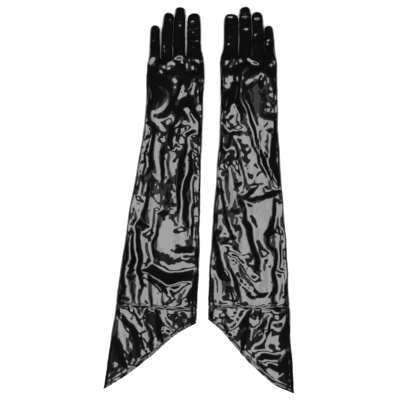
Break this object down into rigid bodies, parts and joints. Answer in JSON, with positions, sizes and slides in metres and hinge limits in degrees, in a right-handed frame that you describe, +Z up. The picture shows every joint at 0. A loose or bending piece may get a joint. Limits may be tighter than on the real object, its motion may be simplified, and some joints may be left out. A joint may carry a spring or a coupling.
{
  "type": "opera gloves",
  "caption": "Pair of long black patent-vinyl gloves lying palm down, with folded thumbs, sewn finger stalls and pointed cuffs.",
  "frame": {"origin": "under the middle of the pair, on the surface that the gloves lie on", "axes": "+X from the left glove to the right glove, +Y from the cuffs to the fingertips, +Z up, out of the backs of the hands"},
  "size_m": [0.2864, 0.5802, 0.022],
  "materials": {
    "patent_vinyl": "high-gloss patent coating, black, on black knit",
    "hem_vinyl": "the same patent vinyl turned under and topstitched"
  },
  "bodies": {
    "left_forearm": {"left_forearm_back": "patent_vinyl", "left_forearm_palm": "patent_vinyl"},
    "left_upper_sleeve": {"left_upper_sleeve_back": "patent_vinyl", "left_upper_sleeve_palm": "patent_vinyl"},
    "left_cuff": {"left_cuff_back": "patent_vinyl", "left_cuff_palm": "patent_vinyl", "left_hem_back": "hem_vinyl", "left_hem_palm": "hem_vinyl"},
    "left_hand": {"left_hand_back": "patent_vinyl", "left_hand_palm": "patent_vinyl"},
    "left_index": {"left_index_back": "patent_vinyl", "left_index_palm": "patent_vinyl", "left_index_fourchette_by_middle": "patent_vinyl"},
    "left_middle": {"left_middle_back": "patent_vinyl", "left_middle_palm": "patent_vinyl", "left_middle_fourchette_by_index": "patent_vinyl", "left_middle_fourchette_by_ring": "patent_vinyl"},
    "left_ring": {"left_ring_back": "patent_vinyl", "left_ring_palm": "patent_vinyl", "left_ring_fourchette_by_middle": "patent_vinyl", "left_ring_fourchette_by_pinky": "patent_vinyl"},
    "left_pinky": {"left_pinky_back": "patent_vinyl", "left_pinky_palm": "patent_vinyl", "left_pinky_fourchette_by_ring": "patent_vinyl"},
    "left_thumb": {"left_thumb_back": "patent_vinyl", "left_thumb_palm": "patent_vinyl"},
    "right_forearm": {"right_forearm_back": "patent_vinyl", "right_forearm_palm": "patent_vinyl"},
    "right_upper_sleeve": {"right_upper_sleeve_back": "patent_vinyl", "right_upper_sleeve_palm": "patent_vinyl"},
    "right_cuff": {"right_cuff_back": "patent_vinyl", "right_cuff_palm": "patent_vinyl", "right_hem_back": "hem_vinyl", "right_hem_palm": "hem_vinyl"},
    "right_hand": {"right_hand_back": "patent_vinyl", "right_hand_palm": "patent_vinyl"},
    "right_index": {"right_index_back": "patent_vinyl", "right_index_palm": "patent_vinyl", "right_index_fourchette_by_middle": "patent_vinyl"},
    "right_middle": {"right_middle_back": "patent_vinyl", "right_middle_palm": "patent_vinyl", "right_middle_fourchette_by_index": "patent_vinyl", "right_middle_fourchette_by_ring": "patent_vinyl"},
    "right_ring": {"right_ring_back": "patent_vinyl", "right_ring_palm": "patent_vinyl", "right_ring_fourchette_by_middle": "patent_vinyl", "right_ring_fourchette_by_pinky": "patent_vinyl"},
    "right_pinky": {"right_pinky_back": "patent_vinyl", "right_pinky_palm": "patent_vinyl", "right_pinky_fourchette_by_ring": "patent_vinyl"},
    "right_thumb": {"right_thumb_back": "patent_vinyl", "right_thumb_palm": "patent_vinyl"}
  },
  "joints": [
    {"name": "gloves_apart", "type": "slide", "parent": "left_forearm", "child": "right_forearm", "axis": [1, 0, 0], "range_m": [0, 0.2]},
    {"name": "left_elbow_fold", "type": "hinge", "parent": "left_forearm", "child": "left_upper_sleeve", "pos_m": [-0.05877, -0.11036, 0.014], "axis": [-0.9957, 0.0928, 0], "range_deg": [0, 90]},
    {"name": "left_cuff_fold", "type": "hinge", "parent": "left_upper_sleeve", "child": "left_cuff", "pos_m": [-0.06341, -0.16014, 0.014], "axis": [-0.9957, 0.0928, 0], "range_deg": [0, 95]},
    {"name": "left_wrist", "type": "hinge", "parent": "left_forearm", "child": "left_hand", "pos_m": [-0.03836, 0.10869, 0.007], "axis": [0.996, -0.0891, 0], "range_deg": [-40, 45]},
    {"name": "left_index_knuckle", "type": "hinge", "parent": "left_hand", "child": "left_index", "pos_m": [-0.00591, 0.21186, 0.007], "axis": [0.9997, 0.0248, 0], "range_deg": [-80, 18]},
    {"name": "left_middle_knuckle", "type": "hinge", "parent": "left_hand", "child": "left_middle", "pos_m": [-0.02931, 0.21086, 0.007], "axis": [0.9998, -0.0215, 0], "range_deg": [-80, 18]},
    {"name": "left_ring_knuckle", "type": "hinge", "parent": "left_hand", "child": "left_ring", "pos_m": [-0.04861, 0.20826, 0.007], "axis": [0.9986, -0.0533, 0], "range_deg": [-80, 18]},
    {"name": "left_pinky_knuckle", "type": "hinge", "parent": "left_hand", "child": "left_pinky", "pos_m": [-0.06731, 0.20486, 0.007], "axis": [0.9989, -0.046, 0], "range_deg": [-80, 18]},
    {"name": "left_thumb_swing", "type": "hinge", "parent": "left_hand", "child": "left_thumb", "pos_m": [0.0038, 0.14226, 0.004], "axis": [0, 0, -1], "range_deg": [0, 45]},
    {"name": "right_elbow_fold", "type": "hinge", "parent": "right_forearm", "child": "right_upper_sleeve", "pos_m": [0.07519, -0.11014, 0.014], "axis": [-1, 0, 0], "range_deg": [0, 90]},
    {"name": "right_cuff_fold", "type": "hinge", "parent": "right_upper_sleeve", "child": "right_cuff", "pos_m": [0.07519, -0.16014, 0.014], "axis": [-1, 0, 0], "range_deg": [0, 95]},
    {"name": "right_wrist", "type": "hinge", "parent": "right_forearm", "child": "right_hand", "pos_m": [0.07519, 0.10986, 0.007], "axis": [1, 0, 0], "range_deg": [-40, 45]},
    {"name": "right_index_knuckle", "type": "hinge", "parent": "right_hand", "child": "right_index", "pos_m": [0.04659, 0.21186, 0.007], "axis": [0.9991, -0.0423, 0], "range_deg": [-80, 18]},
    {"name": "right_middle_knuckle", "type": "hinge", "parent": "right_hand", "child": "right_middle", "pos_m": [0.06999, 0.21086, 0.007], "axis": [1, 0.005, 0], "range_deg": [-80, 18]},
    {"name": "right_ring_knuckle", "type": "hinge", "parent": "right_hand", "child": "right_ring", "pos_m": [0.08929, 0.20826, 0.007], "axis": [0.9998, 0.0205, 0], "range_deg": [-80, 18]},
    {"name": "right_pinky_knuckle", "type": "hinge", "parent": "right_hand", "child": "right_pinky", "pos_m": [0.10799, 0.20486, 0.007], "axis": [0.9989, 0.046, 0], "range_deg": [-80, 18]},
    {"name": "right_thumb_swing", "type": "hinge", "parent": "right_hand", "child": "right_thumb", "pos_m": [0.0355, 0.14562, 0.004], "axis": [0, 0, 1], "range_deg": [0, 45]}
  ]
}
